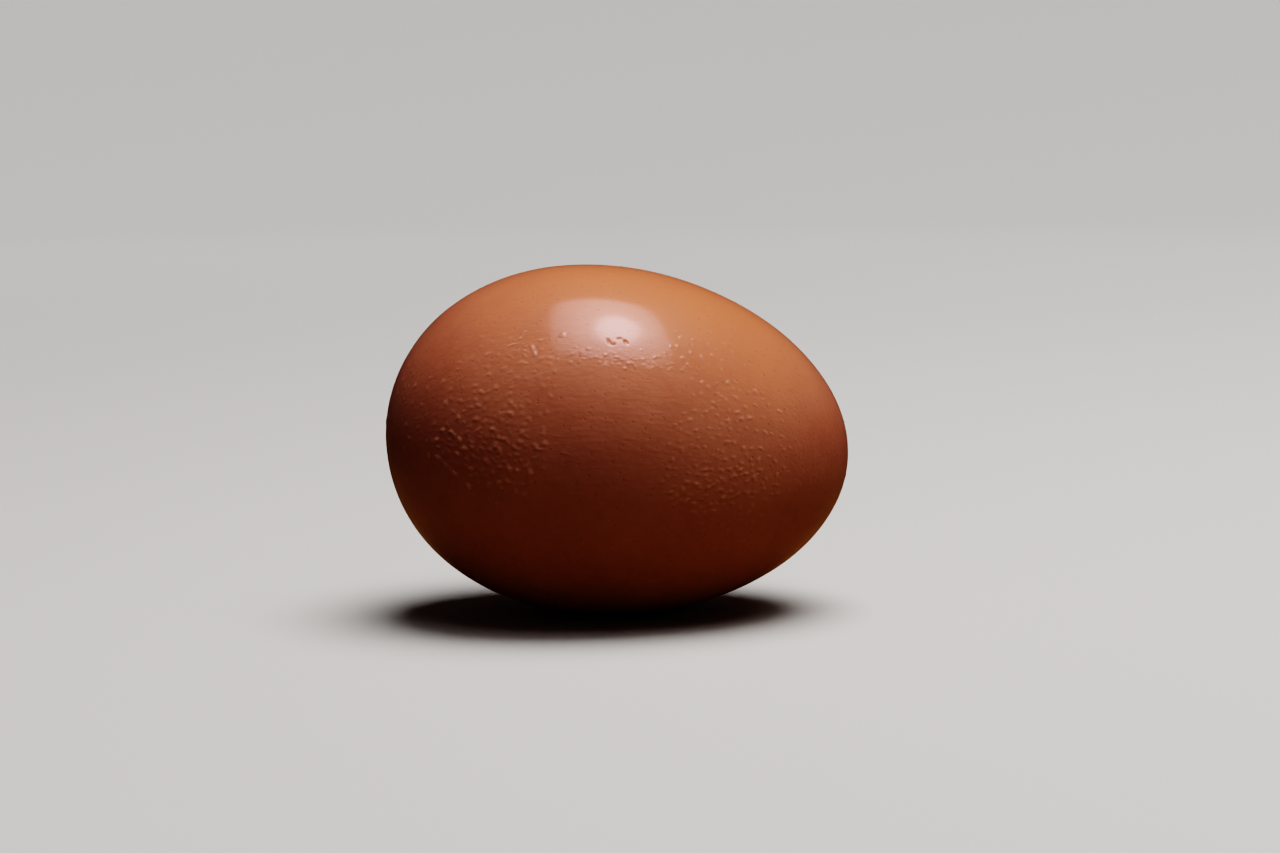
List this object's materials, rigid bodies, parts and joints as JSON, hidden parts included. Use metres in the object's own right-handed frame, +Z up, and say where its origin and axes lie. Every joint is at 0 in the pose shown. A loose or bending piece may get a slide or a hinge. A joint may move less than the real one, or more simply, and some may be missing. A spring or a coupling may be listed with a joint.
{
  "type": "hen's egg",
  "caption": "Whole brown-shelled egg lying on its side, blunt at one end and more pointed at the other, resting on a small flat spot.",
  "frame": {"origin": "on the small flat spot that the egg rests on, where the round shell would touch a level surface", "axes": "+X along the egg towards its pointed end, level, with the long axis itself dipping 6.2 degrees below +X; +Y across it; +Z up"},
  "size_m": [0.0568, 0.043, 0.043],
  "materials": {
    "eggshell": "satin brown shell with fine pores, small pimples and faint wrinkles"
  },
  "bodies": {
    "root": {"egg": "eggshell"}
  },
  "joints": []
}
